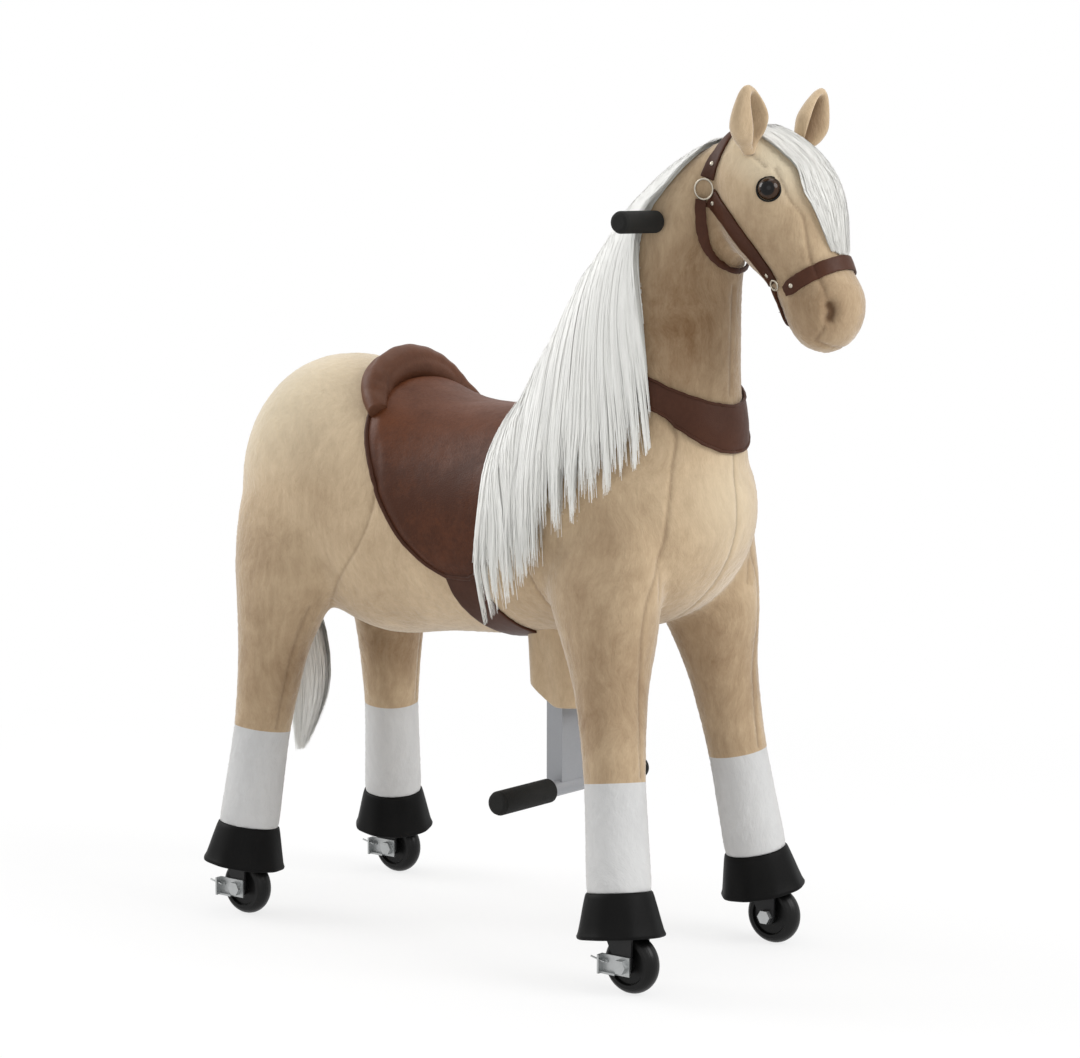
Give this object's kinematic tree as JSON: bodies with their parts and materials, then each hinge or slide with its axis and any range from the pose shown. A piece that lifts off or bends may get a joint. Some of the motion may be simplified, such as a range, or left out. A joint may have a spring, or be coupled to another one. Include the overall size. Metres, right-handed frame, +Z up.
{
  "type": "ride-on plush horse on wheels",
  "caption": "Plush ride-on horse on wheels: pressing the foot bar swings the legs together to roll it forward, and side handles turn neck, head and front wheels.",
  "frame": {"origin": "middle of the bounding box on the floor, under the body", "axes": "+X forward (towards the head), +Y to the horse's left, +Z up"},
  "size_m": [0.785, 0.3374, 0.8801],
  "materials": {
    "frame_paint": "satin",
    "zinc": "zinc plated",
    "board": "plain",
    "tan_plush": "short-pile plush",
    "white_plush": "short-pile plush",
    "hair": "long pile",
    "brown_leather": "grained",
    "bush": "plain",
    "hoof_plastic": "satin moulded",
    "fork_paint": "satin black",
    "pedal_paint": "silver grey",
    "foam": "foam",
    "eye": "glossy",
    "wheel_rubber": "satin"
  },
  "bodies": {
    "chassis": {"chassis_frame": "frame_paint", "hinge_pins": "zinc", "seat_board": "board", "seat_screws": "zinc", "torso": "tan_plush", "saddle_seat": "brown_leather", "saddle_cantle": "brown_leather", "girth_strap": "brown_leather", "tail": "hair", "pedal_sleeve": "tan_plush", "mane_fall": "hair"},
    "front_legs": {"front_yoke": "frame_paint", "front_leg_tubes": "frame_paint", "stem_bushes": "bush", "front_leg_right": "tan_plush", "front_leg_left": "tan_plush", "front_socks": "white_plush", "front_hooves": "hoof_plastic"},
    "rear_legs": {"rear_yoke": "frame_paint", "rear_leg_tubes": "frame_paint", "rear_leg_right": "tan_plush", "rear_leg_left": "tan_plush", "rear_socks": "white_plush", "rear_hooves": "hoof_plastic", "rear_forks": "fork_paint", "rear_axles": "zinc", "rear_stop_plates": "zinc", "rear_stop_springs": "zinc"},
    "link": {"link_rod": "frame_paint"},
    "pedal": {"pedal_post": "pedal_paint", "cam_plate": "frame_paint", "foot_bar": "pedal_paint", "foot_grips": "foam"},
    "steering": {"steering_column": "frame_paint", "handlebar": "frame_paint", "handle_grips": "foam", "neck": "tan_plush", "head": "tan_plush", "ear_right": "tan_plush", "ear_left": "tan_plush", "eyes": "eye", "halter": "brown_leather", "halter_rings": "zinc", "breast_collar": "brown_leather", "mane": "hair", "forelock": "hair"},
    "rack": {"rack_bar": "frame_paint"},
    "right_fork": {"fork_right": "fork_paint", "axle_right": "zinc", "stop_plate_right": "zinc", "stop_spring_right": "zinc"},
    "left_fork": {"fork_left": "fork_paint", "axle_left": "zinc", "stop_plate_left": "zinc", "stop_spring_left": "zinc"},
    "front_right_wheel": {"wheel_front_right": "wheel_rubber"},
    "front_left_wheel": {"wheel_front_left": "wheel_rubber"},
    "rear_right_wheel": {"wheel_rear_right": "wheel_rubber"},
    "rear_left_wheel": {"wheel_rear_left": "wheel_rubber"}
  },
  "joints": [
    {"name": "front_leg_swing", "type": "hinge", "parent": "chassis", "child": "front_legs", "pos_m": [0.14153, 0, 0.44], "axis": [0, 1, 0], "range_deg": [0, 7]},
    {"name": "rear_leg_swing", "type": "hinge", "parent": "chassis", "child": "rear_legs", "pos_m": [-0.26347, 0, 0.44], "axis": [0, -1, 0], "range_deg": [0, 7]},
    {"name": "pedal_slide", "type": "slide", "parent": "chassis", "child": "pedal", "axis": [0, 0, -1], "range_m": [0, 0.022]},
    {"name": "link_turn", "type": "hinge", "parent": "front_legs", "child": "link", "pos_m": [0.10156, 0, 0.49501], "axis": [0, -1, 0], "range_deg": [0, 7]},
    {"name": "steer", "type": "hinge", "parent": "chassis", "child": "steering", "pos_m": [0.20653, 0, 0.75], "axis": [0.1908, 0, 0.9816], "range_deg": [-15, 15]},
    {"name": "rack_slide", "type": "slide", "parent": "chassis", "child": "rack", "axis": [0, 1, 0], "range_m": [-0.0083, 0.0083]},
    {"name": "right_fork_turn", "type": "hinge", "parent": "front_legs", "child": "right_fork", "pos_m": [0.14803, -0.078, 0.44], "axis": [-0.1416, 0.1201, 0.9826], "range_deg": [-15, 15]},
    {"name": "left_fork_turn", "type": "hinge", "parent": "front_legs", "child": "left_fork", "pos_m": [0.14803, 0.078, 0.44], "axis": [-0.1416, -0.1201, 0.9826], "range_deg": [-15, 15]},
    {"name": "front_right_roll", "type": "hinge", "parent": "right_fork", "child": "front_right_wheel", "pos_m": [0.2178, -0.12532, 0.03], "axis": [0, 1, 0], "continuous": true},
    {"name": "front_left_roll", "type": "hinge", "parent": "left_fork", "child": "front_left_wheel", "pos_m": [0.2178, 0.12532, 0.03], "axis": [0, 1, 0], "continuous": true},
    {"name": "rear_right_roll", "type": "hinge", "parent": "rear_legs", "child": "rear_right_wheel", "pos_m": [-0.29865, -0.125, 0.03], "axis": [0, 1, 0], "continuous": true},
    {"name": "rear_left_roll", "type": "hinge", "parent": "rear_legs", "child": "rear_left_wheel", "pos_m": [-0.29865, 0.125, 0.03], "axis": [0, 1, 0], "continuous": true}
  ],
  "couplings": [
    {"joint": "rear_leg_swing", "follows": "front_leg_swing", "ratio": 1},
    {"joint": "pedal_slide", "follows": "front_leg_swing", "m_per_rad": 0.18007},
    {"joint": "link_turn", "follows": "front_leg_swing", "ratio": 1},
    {"joint": "rack_slide", "follows": "steer", "m_per_rad": 0.031636},
    {"joint": "right_fork_turn", "follows": "steer", "ratio": 1},
    {"joint": "left_fork_turn", "follows": "steer", "ratio": 1}
  ]
}
